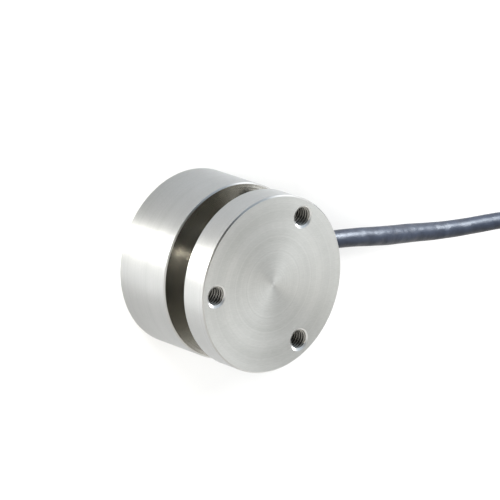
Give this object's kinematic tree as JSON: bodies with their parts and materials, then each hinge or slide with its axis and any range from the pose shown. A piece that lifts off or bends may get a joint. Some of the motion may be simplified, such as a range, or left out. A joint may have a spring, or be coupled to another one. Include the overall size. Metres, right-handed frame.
{
  "type": "weighing load cell",
  "caption": "Round stainless load cell: a tapped load flange on a neck above a gauged housing, with a side gland and a coiled signal cable.",
  "frame": {"origin": "centre of the base face, on the load axis", "axes": "+Z along the load axis from the base face to the load face, +X along the cable where it leaves the gland"},
  "size_m": [0.1883, 0.0626, 0.03],
  "materials": {
    "stainless_steel": "turned, satin",
    "gland_metal": "nickel plated, bright",
    "seal_rubber": "smooth, matt",
    "cable_sheath": "extruded, soft sheen",
    "tie_strap": "woven hook and loop",
    "shrink_sleeve": "shrunk tube, soft sheen",
    "insulation_red": "smooth",
    "insulation_green": "smooth",
    "insulation_white": "smooth",
    "insulation_black": "smooth",
    "insulation_grey": "smooth",
    "tinned_copper": "tinned",
    "crimp_brass": "bright",
    "board_laminate": "lacquered laminate",
    "resistor_body": "matt",
    "gauge_foil": "film with etched foil"
  },
  "bodies": {
    "root": {"spring_body": "stainless_steel", "base_cover": "stainless_steel", "gland_body": "gland_metal", "gland_nut": "gland_metal", "gland_seal": "seal_rubber", "gland_ring": "seal_rubber", "cable_ferrule": "crimp_brass", "cable_inner_end": "cable_sheath", "cable_run": "cable_sheath", "cable_coil": "cable_sheath", "cable_tail": "cable_sheath", "coil_tie": "tie_strap", "end_sleeve": "shrink_sleeve", "lead_red": "insulation_red", "lead_green": "insulation_green", "lead_white": "insulation_white", "lead_black": "insulation_black", "screen_lead": "insulation_grey", "lead_tips": "tinned_copper", "core_red": "insulation_red", "core_green": "insulation_green", "core_white": "insulation_white", "core_black": "insulation_black", "terminal_board": "board_laminate", "zero_resistor": "resistor_body", "span_resistor": "resistor_body", "strain_gauge_1": "gauge_foil", "gauge_wires_1": "tinned_copper", "strain_gauge_2": "gauge_foil", "gauge_wires_2": "tinned_copper", "strain_gauge_3": "gauge_foil", "gauge_wires_3": "tinned_copper", "strain_gauge_4": "gauge_foil", "gauge_wires_4": "tinned_copper"}
  },
  "joints": []
}
